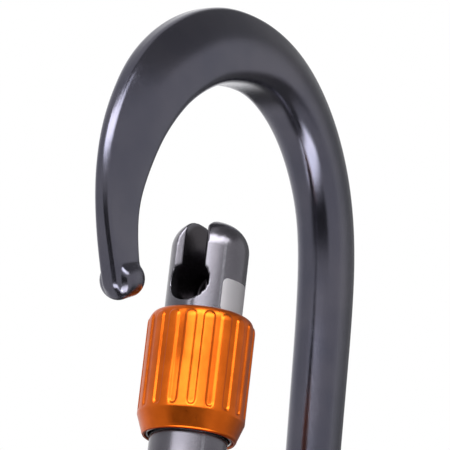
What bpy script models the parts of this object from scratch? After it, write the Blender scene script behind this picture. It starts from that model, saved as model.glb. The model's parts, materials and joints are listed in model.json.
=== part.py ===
"""Screw-gate belay carabiner, as an assembly of the pieces it comes apart into.

Run with: blender --background --python part.py
Units are metres. +Z runs up the length of the carabiner with the wide basket on top, the spine is
on the +X side, the gate on the -X side, and the thickness runs along Y. The origin is where the
rope bears: the middle of the wide basket's inner face. The gate stands open, with its sleeve
screwed down.
"""

from math import cos, pi, radians, sin, sqrt, tan

import bmesh
import bpy
from mathutils import Matrix, Vector

MM = 0.001
GAP = 0.3 * MM
OVERRUN = 2.0 * MM  # of a cutter past the face it cuts through
THROUGH = 20.0 * MM  # length of a cutter that goes right through

# The frame's centreline is a chain of arcs (radius, degrees turned), read outwards from the crown.
NOSE_ARCS = [(37.3 * MM, 30.0), (27.0 * MM, 42.0), (22.9 * MM, 20.0), (47.0 * MM, 9.9)]
SPINE_ARCS = [
    (36.0 * MM, 14.0),
    (24.2 * MM, 32.0),
    (28.7 * MM, 32.0),
    (30.0 * MM, 12.0),
    (46.0 * MM, 8.0),
    (150.0 * MM, 4.0),
]
BOTTOM_RADIUS = 17.85 * MM
STATION_TURN = 4.0  # degrees between two sections of the frame, at most

# The bar's section at a distance from the crown, minus on the nose side:
# distance, depth, thickness, slope of the outer facet in degrees, inner fillet.
BAR_SECTIONS = [
    (-60.0 * MM, 6.8 * MM, 3.3 * MM, 3.0, 0.9 * MM),
    (-52.0 * MM, 7.1 * MM, 3.3 * MM, 3.0, 0.9 * MM),
    (-45.0 * MM, 8.5 * MM, 3.4 * MM, 6.0, 1.0 * MM),
    (-36.0 * MM, 10.8 * MM, 5.4 * MM, 12.0, 1.6 * MM),
    (-25.0 * MM, 11.5 * MM, 7.8 * MM, 19.0, 2.1 * MM),
    (-12.0 * MM, 11.4 * MM, 9.2 * MM, 24.0, 2.3 * MM),
    (0.0 * MM, 11.5 * MM, 9.2 * MM, 24.0, 2.3 * MM),
    (13.0 * MM, 10.1 * MM, 8.9 * MM, 20.0, 2.2 * MM),
    (26.0 * MM, 9.6 * MM, 8.0 * MM, 12.0, 2.0 * MM),
    (40.0 * MM, 9.5 * MM, 7.3 * MM, 7.0, 1.9 * MM),
    (52.0 * MM, 9.4 * MM, 7.2 * MM, 6.0, 1.9 * MM),
    (84.0 * MM, 8.4 * MM, 7.2 * MM, 6.0, 1.9 * MM),
    (120.0 * MM, 8.8 * MM, 7.2 * MM, 6.0, 1.9 * MM),
    (200.0 * MM, 8.8 * MM, 7.2 * MM, 6.0, 1.9 * MM),
]
RIDGE_SHARE = 0.4  # where the side facet ends, across the depth between the two rounded edges
OUTER_EDGE = 0.9 * MM
FILLET_STEPS = 4
EDGE_STEPS = 3

# The nose's catch, a short thick button across the end of the thin nose arm.
CATCH_RADIUS = 2.8 * MM
CATCH_LENGTH = 5.4 * MM
CATCH_EDGE = 1.3 * MM
CATCH_INSET = 0.3 * MM  # towards the inside of the basket, from the arm's centreline

# The gate. Heights are measured along its barrel from the hinge pin.
BARREL_RADIUS = 5.8 * MM
CATCH_HEIGHT = 48.0 * MM
CATCH_OFFSET = 1.0 * MM  # of the catch from the barrel's axis, towards the nose side
CATCH_SLACK = 0.35 * MM  # of the shut catch above the middle of its cavity
TIP_HEIGHT = 58.0 * MM
TIP_ROUND = 4.3 * MM
OPENED = 26.8  # degrees from closed to the rest pose
CAVITY_RADIUS = 3.3 * MM
CAVITY_BACK = 2.95 * MM
SLOT_WIDTH = 3.7 * MM
SLOT_TIP_BACK = 5.4 * MM  # depth of the slot's back at the tip, past the barrel's axis
SLOT_CHAMFER = 0.8 * MM
FORK_WIDTH = 4.8 * MM
FORK_TOP = 7.0 * MM
BORE_RADIUS = 1.7 * MM
BORE_TOP = 30.0 * MM
THREAD_PITCH = 2.5 * MM
THREAD_BOTTOM = 27.5 * MM
THREAD_TURNS = 3.5
THREAD_DEPTH = 0.45 * MM
THREAD_WIDTH = 1.2 * MM

# The hinge: a rivet through the gate's fork and the frame's tongue.
TONGUE_WIDTH = 4.2 * MM
TONGUE_RADIUS = 4.3 * MM
CAM_RISE = 1.6 * MM  # of the tongue's end, from closed to the rest pose
CAM_MARGIN = 6.0  # degrees that the cam goes on past either end of the gate's travel
CAM_STEPS = 12
HEEL_STEPS = 16
HEEL_EASE = 0.3  # share of the heel over which the cam's rise is given back
SHOULDER_RADIUS = 6.3 * MM
PIN_RADIUS = 1.5 * MM
PIN_HEAD_RADIUS = 2.2 * MM
PIN_HEAD_START = 4.6 * MM
PIN_HALF_LENGTH = 5.7 * MM

# The push rod and its spring, in the barrel's bore.
ROD_GAP = 0.5 * MM
ROD_RADIUS = 1.0 * MM
ROD_HEAD_RADIUS = 1.4 * MM
ROD_HEAD_BOTTOM = 14.0 * MM
ROD_HEAD_LENGTH = 1.5 * MM
SPRING_WIRE = 0.5 * MM
SPRING_COILS = 8
SPRING_OUTER = 1.4 * MM

# The screw sleeve, again in heights from the hinge pin.
SLEEVE_BOTTOM = 24.9 * MM
SLEEVE_TOP = 43.6 * MM
SLEEVE_BORE = 6.12 * MM
SLEEVE_RADIUS = 8.0 * MM
SLEEVE_LIP = 7.1 * MM
SLEEVE_BAND = 3.0 * MM
SLEEVE_SHOULDER = 2.0 * MM
FLUTES = 18
FLUTE_DEPTH = 0.45 * MM
FLUTE_WIDTH = 1.3 * MM
FLUTE_RUN_OUT = 0.5 * MM  # from the band up to the flutes' lower ends
RING_INNER = 6.12 * MM
RING_OUTER = 6.42 * MM
RING_HEIGHT = 1.2 * MM
RING_INSET = 0.15 * MM  # of the ring above the sleeve's lower rim
RING_SPLIT = 1.6 * MM

# The keeper, a sprung wire across the narrow basket.
WIRE_RADIUS = 1.0 * MM
KEEPER_TURN = 12.0  # degrees along the bottom arc, from the hinge side to its pivot
KEEPER_HEIGHT = 9.0 * MM  # of its resting end above the bottom arc's centre
KEEPER_END_WIDTH = 5.6 * MM
KEEPER_BEND = 2.0 * MM
KEEPER_WAIST = (0.5, 4.2 * MM)  # share of its length, and half width there
KEEPER_HOLE_DEPTH = 2.4 * MM


# ---------------------------------------------------------------- scene and mesh helpers


def clear_scene():
    for thing in list(bpy.data.objects):
        bpy.data.objects.remove(thing, do_unlink=True)


def make_collection(name):
    group = bpy.data.collections.new(name)
    bpy.context.scene.collection.children.link(group)
    return group


def make_material(name, colour, metallic, roughness):
    material = bpy.data.materials.new(name)
    material.use_nodes = True
    shader = material.node_tree.nodes["Principled BSDF"]
    shader.inputs["Base Color"].default_value = (*colour, 1.0)
    shader.inputs["Metallic"].default_value = metallic
    shader.inputs["Roughness"].default_value = roughness
    return material


def add_part(name, data, group, material, place=None):
    """Links one named piece, smooth-shaded where its faces meet at under 30 degrees."""
    part = bpy.data.objects.new(name, data)
    group.objects.link(part)
    data.materials.append(material)
    if isinstance(data, bpy.types.Mesh):
        data.shade_smooth()
        data.set_sharp_from_angle(angle=radians(30.0))
    if place is not None:
        part.parent = place
    return part


def add_cutter(name, mesh, group, place=None):
    cutter = bpy.data.objects.new(name, mesh)
    group.objects.link(cutter)
    cutter.hide_render = True
    cutter.display_type = "WIRE"
    if place is not None:
        cutter.parent = place
    return cutter


def combine(part, other, operation):
    step = part.modifiers.new(other.name, "BOOLEAN")
    step.operation = operation
    step.object = other


def mesh_from(bm, name):
    bmesh.ops.recalc_face_normals(bm, faces=bm.faces)
    mesh = bpy.data.meshes.new(name)
    bm.to_mesh(mesh)
    bm.free()
    return mesh


def put_cylinder(bm, radius, length, centre, axis, segments=40):
    """Adds a closed cylinder to bm, centred at centre, along axis."""
    turn = Vector((0.0, 0.0, 1.0)).rotation_difference(Vector(axis)).to_matrix().to_4x4()
    return bmesh.ops.create_cone(
        bm,
        cap_ends=True,
        segments=segments,
        radius1=radius,
        radius2=radius,
        depth=length,
        matrix=Matrix.Translation(centre) @ turn,
    )


def put_box(bm, low, high):
    size = Vector(high) - Vector(low)
    middle = (Vector(high) + Vector(low)) / 2
    bmesh.ops.create_cube(bm, size=1.0, matrix=Matrix.Translation(middle) @ Matrix.Diagonal((*size, 1.0)))


def loft(bm, rings):
    """Skins closed rings of equal length, and caps the first and the last."""
    rows = [[bm.verts.new(point) for point in ring] for ring in rings]
    count = len(rows[0])
    for near, far in zip(rows, rows[1:]):
        for i in range(count):
            j = (i + 1) % count
            bm.faces.new((near[i], near[j], far[j], far[i]))
    bm.faces.new(rows[0][::-1])
    bm.faces.new(rows[-1])


def turned(name, profile, group, material, place, steps=40):
    """A solid of revolution about its own Z, from (radius, height) points running top to bottom."""
    bm = bmesh.new()
    points = [bm.verts.new((radius, 0.0, height)) for radius, height in profile]
    for upper, lower in zip(points, points[1:]):
        bm.edges.new((upper, lower))
    mesh = bpy.data.meshes.new(name)
    bm.to_mesh(mesh)
    bm.free()
    part = add_part(name, mesh, group, material, place)
    spin = part.modifiers.new("Turn", "SCREW")
    spin.steps = steps
    spin.render_steps = steps
    spin.use_merge_vertices = True
    spin.merge_threshold = 0.00001
    spin.use_smooth_shade = True
    return part


def arc_points(centre, radii, start, end, steps):
    """Points on an ellipse's arc, in degrees from the first axis."""
    return [
        (
            centre[0] + radii[0] * cos(radians(start + (end - start) * i / steps)),
            centre[1] + radii[1] * sin(radians(start + (end - start) * i / steps)),
        )
        for i in range(steps + 1)
    ]


# ---------------------------------------------------------------- centreline of the frame


def walk(start, heading, arcs, side):
    """Stations (x, z, heading, distance) along arcs. Heading is degrees below level, towards side."""
    x, z = start
    travelled = 0.0
    stations = [(x, z, heading, travelled)]
    for radius, turn in arcs:
        count = max(2, round(turn / STATION_TURN))
        for _ in range(count):
            step = turn / count
            chord = 2 * radius * sin(radians(step) / 2)
            middle = radians(heading + step / 2)
            x += side * chord * cos(middle)
            z -= chord * sin(middle)
            heading += step
            travelled += radius * radians(step)
            stations.append((x, z, heading, travelled))
    return stations


def section_at(distance):
    """Depth, thickness, facet slope and inner fillet of the bar, eased between BAR_SECTIONS."""
    for near, far in zip(BAR_SECTIONS, BAR_SECTIONS[1:]):
        if distance <= far[0]:
            share = (distance - near[0]) / (far[0] - near[0])
            return [a + (b - a) * share for a, b in zip(near[1:], far[1:])]
    return list(BAR_SECTIONS[-1][1:])


CROWN_DEPTH = section_at(0.0)[0]
CROWN = (0.0, CROWN_DEPTH / 2)
NOSE_PATH = walk(CROWN, 0.0, NOSE_ARCS, -1)
SPINE_PATH = walk(CROWN, 0.0, SPINE_ARCS, 1)
CLOSED_LEAN = NOSE_PATH[-1][2] - 90.0
REST_LEAN = OPENED - CLOSED_LEAN

UP_CLOSED = Vector((-sin(radians(CLOSED_LEAN)), 0.0, cos(radians(CLOSED_LEAN))))
IN_CLOSED = Vector((cos(radians(CLOSED_LEAN)), 0.0, sin(radians(CLOSED_LEAN))))
CATCH = Vector((NOSE_PATH[-1][0], 0.0, NOSE_PATH[-1][1])) + IN_CLOSED * CATCH_INSET
HINGE = CATCH + IN_CLOSED * CATCH_OFFSET - UP_CLOSED * (CATCH_HEIGHT + CATCH_SLACK)


def tail_path():
    """The straight spine, the bottom arc and the straight run up to the hinge, as stations."""
    x, z, heading, travelled = SPINE_PATH[-1]
    down = Vector((cos(radians(heading)), 0.0, -sin(radians(heading))))
    sweep = 270.0 - CLOSED_LEAN - heading
    arc = walk((0.0, 0.0), heading, [(BOTTOM_RADIUS, sweep)], 1)
    arc_end = Vector((arc[-1][0], 0.0, arc[-1][1]))
    corner = Vector((x, 0.0, z))
    straight = IN_CLOSED.dot(HINGE - corner - arc_end) / IN_CLOSED.dot(down)
    stations = []
    for i in range(1, 5):
        run = straight * i / 4
        point = corner + down * run
        stations.append((point.x, point.z, heading, travelled + run))
    base = stations[-1]
    stations += [(base[0] + s[0], base[1] + s[1], s[2], base[3] + s[3]) for s in arc[1:]]
    last = Vector((stations[-1][0], 0.0, stations[-1][1]))
    stations.append((HINGE.x, HINGE.z, stations[-1][2], stations[-1][3] + (HINGE - last).length))
    return stations


TAIL_PATH = tail_path()
BAR_HALF = section_at(TAIL_PATH[0][3])[1] / 2


def bottom_point(turn, inward=0.0):
    """A point on the bottom arc, turn degrees back from its hinge end, moved inward across the bar."""
    heading = radians(270.0 - CLOSED_LEAN - turn)
    end = Vector((TAIL_PATH[-2][0], 0.0, TAIL_PATH[-2][1]))
    centre = end + IN_CLOSED * BOTTOM_RADIUS
    outward = Vector((sin(heading), 0.0, cos(heading)))
    return centre + outward * (BOTTOM_RADIUS - inward)


# ---------------------------------------------------------------- frame


def bar_ring(station, side):
    """The bar's section at one station, as points in the model's frame."""
    x, z, heading, distance = station
    depth, thickness, slope, fillet = section_at(side * distance)
    half = thickness / 2
    ridge = fillet + RIDGE_SHARE * (depth - fillet - OUTER_EDGE)
    edge_half = half - tan(radians(slope)) * (depth - OUTER_EDGE - ridge)
    outline = [(0.0, half - fillet)]
    outline += [
        (fillet - u, half - fillet + v)
        for u, v in arc_points((0.0, 0.0), (fillet, fillet), 0.0, 90.0, FILLET_STEPS)[1:]
    ]
    outline.append((ridge, half))
    outline += arc_points(
        (depth - OUTER_EDGE, edge_half - OUTER_EDGE), (OUTER_EDGE, OUTER_EDGE), 90.0, 0.0, EDGE_STEPS
    )
    outline += [(u, -v) for u, v in reversed(outline)]
    out_x = side * sin(radians(heading))
    out_z = cos(radians(heading))
    return [(x + out_x * (u - depth / 2), v, z + out_z * (u - depth / 2)) for u, v in outline]


def tongue_mesh():
    """The tongue's rounded end. Its radius grows towards the inside, as the cam for the push rod."""
    bm = bmesh.new()
    closed = 90.0 + CLOSED_LEAN
    per_degree = CAM_RISE / OPENED
    swept = OPENED + 2 * CAM_MARGIN
    outline = []
    for i in range(CAM_STEPS + 1):
        opened = swept * i / CAM_STEPS - CAM_MARGIN
        radius = TONGUE_RADIUS + per_degree * max(0.0, opened)
        angle = radians(closed - opened)
        outline.append((radius * cos(angle), radius * sin(angle)))
    peak = TONGUE_RADIUS + per_degree * (OPENED + CAM_MARGIN)
    start = closed - OPENED - CAM_MARGIN
    for i in range(1, HEEL_STEPS):
        share = i / HEEL_STEPS
        radius = peak + (TONGUE_RADIUS - peak) * min(1.0, share / HEEL_EASE)
        angle = radians(start - share * (360.0 - swept))
        outline.append((radius * cos(angle), radius * sin(angle)))
    rings = []
    half = TONGUE_WIDTH / 2 + OVERRUN
    for y in (-half, half):
        rings.append([(HINGE.x + u, y, HINGE.z + v) for u, v in outline])
    loft(bm, rings)
    return mesh_from(bm, "tongue_end")


def catch_mesh():
    bm = bmesh.new()
    put_cylinder(bm, CATCH_RADIUS, CATCH_LENGTH, CATCH, IN_CLOSED, segments=32)
    rims = [edge for edge in bm.edges if any(len(face.verts) > 4 for face in edge.link_faces)]
    bmesh.ops.bevel(bm, geom=rims, offset=CATCH_EDGE, segments=4, profile=0.5, affect="EDGES")
    return mesh_from(bm, "catch")


def build_frame(parts, cutters, material):
    rings = [bar_ring(station, -1) for station in reversed(NOSE_PATH[1:])]
    rings += [bar_ring(station, 1) for station in SPINE_PATH + TAIL_PATH]
    bm = bmesh.new()
    loft(bm, rings)
    frame = add_part("frame", mesh_from(bm, "frame"), parts, material)
    combine(frame, add_cutter("catch_body", catch_mesh(), cutters), "UNION")
    combine(frame, add_cutter("tongue_body", tongue_mesh(), cutters), "UNION")

    bm = bmesh.new()
    width = BAR_HALF - TONGUE_WIDTH / 2 + OVERRUN
    for side in (-1, 1):
        middle = side * (TONGUE_WIDTH + width) / 2
        put_cylinder(bm, SHOULDER_RADIUS, width, HINGE + Vector((0.0, middle, 0.0)), (0, 1, 0))
    combine(frame, add_cutter("fork_clearance", mesh_from(bm, "fork_clearance"), cutters), "DIFFERENCE")

    bm = bmesh.new()
    put_cylinder(bm, PIN_RADIUS + GAP, THROUGH, HINGE, (0, 1, 0), segments=32)
    length = KEEPER_HOLE_DEPTH + OVERRUN
    for side in (-1, 1):
        middle = Vector((0.0, side * (BAR_HALF - KEEPER_HOLE_DEPTH + length / 2), 0.0))
        put_cylinder(bm, WIRE_RADIUS + GAP, length, keeper_pivot() + middle, (0, 1, 0), segments=20)
    combine(frame, add_cutter("frame_bores", mesh_from(bm, "frame_bores"), cutters), "DIFFERENCE")
    return frame


# ---------------------------------------------------------------- gate and what rides in it


def gate_profile():
    """Half outline of the barrel, from the crown of its tip down to under the hinge."""
    flat = BARREL_RADIUS - TIP_ROUND
    outline = [(0.0, TIP_HEIGHT)]
    outline += arc_points((flat, TIP_HEIGHT - TIP_ROUND), (TIP_ROUND, TIP_ROUND), 90.0, 0.0, 8)
    outline.append((BARREL_RADIUS, THREAD_BOTTOM))
    outline.append((BARREL_RADIUS, -BARREL_RADIUS))
    outline.append((0.0, -BARREL_RADIUS))
    return outline


def gate_round_mesh():
    """What the barrel is trimmed to: a round heel about the hinge, and everything above it."""
    bm = bmesh.new()
    reach = 4 * BARREL_RADIUS
    outline = arc_points((0.0, 0.0), (BARREL_RADIUS, BARREL_RADIUS), 180.0, 360.0, 20)
    outline += [(BARREL_RADIUS * 1.5, 0.0), (BARREL_RADIUS * 1.5, TIP_HEIGHT * 1.2)]
    outline += [(-BARREL_RADIUS * 1.5, TIP_HEIGHT * 1.2), (-BARREL_RADIUS * 1.5, 0.0)]
    loft(bm, [[(u, y, v) for u, v in outline] for y in (-reach / 2, reach / 2)])
    return mesh_from(bm, "gate_outline")


def keyhole_mesh():
    """The round cavity for the catch, as a bore from the nose side to its back wall."""
    bm = bmesh.new()
    front = -2 * BARREL_RADIUS
    length = CAVITY_BACK - front
    middle = ((front + CAVITY_BACK) / 2, 0.0, CATCH_HEIGHT)
    put_cylinder(bm, CAVITY_RADIUS, length, middle, (1, 0, 0), segments=36)
    return mesh_from(bm, "keyhole")


def slot_mesh():
    """The slot that lets the nose arm in. It deepens towards the tip, and its front edges are chamfered."""
    bm = bmesh.new()
    half = SLOT_WIDTH / 2
    front = -2 * BARREL_RADIUS
    surface = sqrt(BARREL_RADIUS**2 - (half + SLOT_CHAMFER) ** 2)
    chamfer_start = SLOT_CHAMFER - surface
    flare = chamfer_start - front
    deepening = (SLOT_TIP_BACK - CAVITY_BACK) / (TIP_HEIGHT - CATCH_HEIGHT)
    rings = []
    for z in (CATCH_HEIGHT, TIP_HEIGHT + OVERRUN):
        back = CAVITY_BACK + deepening * (z - CATCH_HEIGHT)
        outline = [(back, -half), (chamfer_start, -half), (front, -half - flare)]
        outline += [(u, -v) for u, v in reversed(outline)]
        rings.append([(u, v, z) for u, v in outline])
    loft(bm, rings)
    return mesh_from(bm, "nose_slot")


def fork_mesh():
    bm = bmesh.new()
    reach = 2 * BARREL_RADIUS
    put_box(bm, (-reach, -FORK_WIDTH / 2, -reach), (reach, FORK_WIDTH / 2, FORK_TOP))
    return mesh_from(bm, "fork_slot")


def thread_mesh():
    """A helical cutter with a tapered section, for the barrel's thread."""
    bm = bmesh.new()
    per_turn = 20
    inner = BARREL_RADIUS - THREAD_DEPTH
    outer = BARREL_RADIUS + THREAD_DEPTH
    rings = []
    for i in range(round(per_turn * THREAD_TURNS) + 1):
        angle = 2 * pi * (i + 0.5) / per_turn
        z = THREAD_BOTTOM + THREAD_PITCH * i / per_turn
        corners = [
            (inner, z - THREAD_WIDTH / 4),
            (outer, z - THREAD_WIDTH * 3 / 4),
            (outer, z + THREAD_WIDTH * 3 / 4),
            (inner, z + THREAD_WIDTH / 4),
        ]
        rings.append([(r * cos(angle), r * sin(angle), height) for r, height in corners])
    loft(bm, rings)
    return mesh_from(bm, "gate_thread")


def pin_bore_mesh():
    bm = bmesh.new()
    put_cylinder(bm, PIN_RADIUS + GAP, THROUGH, (0, 0, 0), (0, 1, 0), segments=32)
    return mesh_from(bm, "pin_bore")


def head_seats_mesh():
    """The counterbores for the rivet's two heads."""
    bm = bmesh.new()
    depth = 2 * OVERRUN
    for side in (-1, 1):
        middle = side * (PIN_HEAD_START - GAP + depth / 2)
        put_cylinder(bm, PIN_HEAD_RADIUS + GAP, depth, (0, middle, 0), (0, 1, 0), segments=32)
    return mesh_from(bm, "head_seats")


def spring_bore_mesh():
    """The blind bore for the push rod and its spring, up from the fork."""
    bm = bmesh.new()
    length = BORE_TOP - FORK_TOP + OVERRUN
    put_cylinder(bm, BORE_RADIUS, length, (0, 0, BORE_TOP - length / 2), (0, 0, 1), segments=24)
    return mesh_from(bm, "spring_bore")


def build_gate(parts, cutters, material, pivot):
    gate = turned("gate", gate_profile(), parts, material, pivot, steps=44)
    combine(gate, add_cutter("gate_outline", gate_round_mesh(), cutters, pivot), "INTERSECT")
    for name, mesh in (
        ("keyhole", keyhole_mesh()),
        ("nose_slot", slot_mesh()),
        ("fork_slot", fork_mesh()),
        ("gate_thread", thread_mesh()),
        ("pin_bore", pin_bore_mesh()),
        ("head_seats", head_seats_mesh()),
        ("spring_bore", spring_bore_mesh()),
    ):
        combine(gate, add_cutter(name, mesh, cutters, pivot), "DIFFERENCE")
    return gate


def build_pin(parts, material, pivot):
    dome = 0.25 * MM
    outline = [(0.0, PIN_HALF_LENGTH), (PIN_HEAD_RADIUS - dome, PIN_HALF_LENGTH)]
    outline += [(PIN_HEAD_RADIUS, PIN_HALF_LENGTH - dome), (PIN_HEAD_RADIUS, PIN_HEAD_START)]
    outline += [(PIN_RADIUS, PIN_HEAD_START)]
    outline += [(radius, -height) for radius, height in reversed(outline)]
    pin = turned("hinge_pin", outline, parts, material, pivot, steps=32)
    pin.rotation_euler = (pi / 2, 0.0, 0.0)
    return pin


def build_rod(parts, material, pivot):
    tip = TONGUE_RADIUS + CAM_RISE + ROD_GAP
    head_top = ROD_HEAD_BOTTOM + ROD_HEAD_LENGTH
    outline = [(0.0, head_top), (ROD_HEAD_RADIUS, head_top), (ROD_HEAD_RADIUS, ROD_HEAD_BOTTOM)]
    outline += [(ROD_RADIUS, ROD_HEAD_BOTTOM)]
    outline += arc_points((0.0, tip + ROD_RADIUS), (ROD_RADIUS, ROD_RADIUS), 0.0, -90.0, 4)
    return turned("push_rod", outline, parts, material, pivot, steps=20)


def build_spring(parts, material, pivot):
    bottom = ROD_HEAD_BOTTOM + ROD_HEAD_LENGTH + GAP + SPRING_WIRE / 2
    top = BORE_TOP - GAP - SPRING_WIRE / 2
    radius = SPRING_OUTER - SPRING_WIRE / 2
    per_turn = 12
    count = SPRING_COILS * per_turn
    curve = bpy.data.curves.new("closing_spring", "CURVE")
    curve.dimensions = "3D"
    curve.bevel_depth = SPRING_WIRE / 2
    curve.bevel_resolution = 1
    curve.use_fill_caps = True
    line = curve.splines.new("POLY")
    line.points.add(count)
    for i, point in enumerate(line.points):
        angle = 2 * pi * i / per_turn
        point.co = (radius * cos(angle), radius * sin(angle), bottom + (top - bottom) * i / count, 1.0)
    return add_part("closing_spring", curve, parts, material, pivot)


# ---------------------------------------------------------------- screw sleeve


def sleeve_profile():
    """The sleeve's closed section, from its top rim down its outside and back up the bore."""
    bore_edge = 0.4 * MM
    seat = RING_OUTER + GAP
    seat_top = SLEEVE_BOTTOM + RING_INSET + RING_HEIGHT + 2 * GAP
    outline = [(SLEEVE_BORE + bore_edge, SLEEVE_TOP)]
    outline += arc_points(
        (SLEEVE_RADIUS - SLEEVE_SHOULDER * 0.7, SLEEVE_TOP - SLEEVE_SHOULDER),
        (SLEEVE_SHOULDER * 0.7, SLEEVE_SHOULDER),
        90.0,
        0.0,
        5,
    )
    outline += [(SLEEVE_RADIUS, SLEEVE_BOTTOM + SLEEVE_BAND), (SLEEVE_LIP, SLEEVE_BOTTOM + 0.3 * MM)]
    outline += [(SLEEVE_LIP - 0.3 * MM, SLEEVE_BOTTOM), (seat, SLEEVE_BOTTOM), (seat, seat_top)]
    outline += [(SLEEVE_BORE, seat_top), (SLEEVE_BORE, SLEEVE_TOP - bore_edge)]
    outline.append(outline[0])
    return outline


def flutes_mesh():
    """Round-bottomed grooves round the sleeve, each a bar along it that sinks in FLUTE_DEPTH."""
    bm = bmesh.new()
    radius = (FLUTE_WIDTH / 2) ** 2 / (2 * FLUTE_DEPTH) + FLUTE_DEPTH / 2
    low = SLEEVE_BOTTOM + SLEEVE_BAND + FLUTE_RUN_OUT
    high = SLEEVE_TOP + 1.0 * MM
    for i in range(FLUTES):
        angle = 2 * pi * i / FLUTES
        reach = SLEEVE_RADIUS - FLUTE_DEPTH + radius
        centre = (reach * cos(angle), reach * sin(angle), (low + high) / 2)
        put_cylinder(bm, radius, high - low, centre, (0, 0, 1), segments=12)
    return mesh_from(bm, "flutes")


def build_sleeve(parts, cutters, material, pivot):
    sleeve = turned("screw_sleeve", sleeve_profile(), parts, material, pivot, steps=54)
    combine(sleeve, add_cutter("flutes", flutes_mesh(), cutters, pivot), "DIFFERENCE")
    return sleeve


def build_ring(parts, cutters, material, pivot):
    bottom = SLEEVE_BOTTOM + RING_INSET
    top = bottom + RING_HEIGHT
    outline = [(RING_INNER, top), (RING_OUTER, top), (RING_OUTER, bottom), (RING_INNER, bottom)]
    outline.append(outline[0])
    ring = turned("sleeve_ring", outline, parts, material, pivot, steps=40)
    bm = bmesh.new()
    put_box(bm, (0.0, -RING_SPLIT / 2, bottom - MM), (2 * RING_OUTER, RING_SPLIT / 2, top + MM))
    combine(ring, add_cutter("ring_split", mesh_from(bm, "ring_split"), cutters, pivot), "DIFFERENCE")
    return ring


# ---------------------------------------------------------------- keeper wire


def keeper_pivot():
    return bottom_point(KEEPER_TURN)


def keeper_rest():
    """Centre of the keeper's end bar where it lies against the spine's inner face."""
    x, z, heading, _ = SPINE_PATH[-1]
    down = Vector((cos(radians(heading)), 0.0, -sin(radians(heading))))
    inward = Vector((-sin(radians(heading)), 0.0, -cos(radians(heading))))
    height = bottom_point(0.0, inward=BOTTOM_RADIUS).z + KEEPER_HEIGHT
    run = (z - height) / -down.z
    depth = section_at(SPINE_PATH[-1][3] + run)[0]
    return Vector((x, 0.0, z)) + down * run + inward * (depth / 2 + GAP + WIRE_RADIUS)


def build_keeper(parts, material):
    pivot = keeper_pivot()
    rest = keeper_rest()
    along = (rest - pivot).normalized()
    reach = (rest - pivot).length
    outside = BAR_HALF + GAP + WIRE_RADIUS
    inside = BAR_HALF - KEEPER_HOLE_DEPTH + GAP
    half_end = KEEPER_END_WIDTH / 2

    def corner(centre, start, end):
        """Quarter turn in the keeper's own plane: u along it, v across it."""
        return arc_points(centre, (KEEPER_BEND, KEEPER_BEND), start, end, 4)

    half = [(0.0, inside)]
    half += corner((KEEPER_BEND, outside - KEEPER_BEND), 180.0, 90.0)
    half.append((reach * KEEPER_WAIST[0], KEEPER_WAIST[1]))
    half += corner((reach - KEEPER_BEND, half_end - KEEPER_BEND), 90.0, 0.0)
    outline = half + [(u, -v) for u, v in reversed(half)]
    curve = bpy.data.curves.new("keeper_wire", "CURVE")
    curve.dimensions = "3D"
    curve.bevel_depth = WIRE_RADIUS
    curve.bevel_resolution = 3
    curve.use_fill_caps = True
    line = curve.splines.new("POLY")
    line.points.add(len(outline) - 1)
    for (u, v), point in zip(outline, line.points):
        point.co = (*(along * u + Vector((0.0, v, 0.0))), 1.0)
    keeper = add_part("keeper_wire", curve, parts, material)
    keeper.location = pivot
    return keeper


# ---------------------------------------------------------------- assembly


def main():
    clear_scene()
    parts = make_collection("belay_carabiner")
    cutters = make_collection("cutters")
    anodised = make_material("gunmetal_anodised", (0.09, 0.095, 0.115), 0.9, 0.32)
    satin = make_material("satin_aluminium", (0.30, 0.29, 0.31), 0.95, 0.38)
    orange = make_material("orange_anodised", (0.80, 0.20, 0.02), 0.85, 0.30)
    steel = make_material("bright_steel", (0.62, 0.61, 0.60), 1.0, 0.22)
    spring = make_material("spring_steel", (0.40, 0.40, 0.41), 1.0, 0.30)

    pivot = bpy.data.objects.new("gate_pivot", None)
    parts.objects.link(pivot)
    pivot.location = HINGE
    pivot.rotation_euler = (0.0, radians(REST_LEAN), 0.0)

    build_frame(parts, cutters, anodised)
    build_gate(parts, cutters, satin, pivot)
    build_pin(parts, steel, pivot)
    build_rod(parts, steel, pivot)
    build_spring(parts, spring, pivot)
    build_sleeve(parts, cutters, orange, pivot)
    build_ring(parts, cutters, steel, pivot)
    build_keeper(parts, spring)


main()
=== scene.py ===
"""Looks of the screw-gate belay carabiner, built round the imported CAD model.

Units are metres. +Z runs up the length with the wide basket on top, the spine is on the +X side
and the gate on the -X side. The origin is the middle of the wide basket's inner face. Sizes that
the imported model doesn't carry are mostly part.py's own. The bar's fillets, outer edge and facets and the
sleeve's grooves are this file's, chosen for how they catch the light.
"""

import json
from math import atan, atan2, cos, degrees, pi, radians, sin, sqrt, tan

import bmesh
import bpy
import numpy as np
from mathutils import Matrix, Vector


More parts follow.
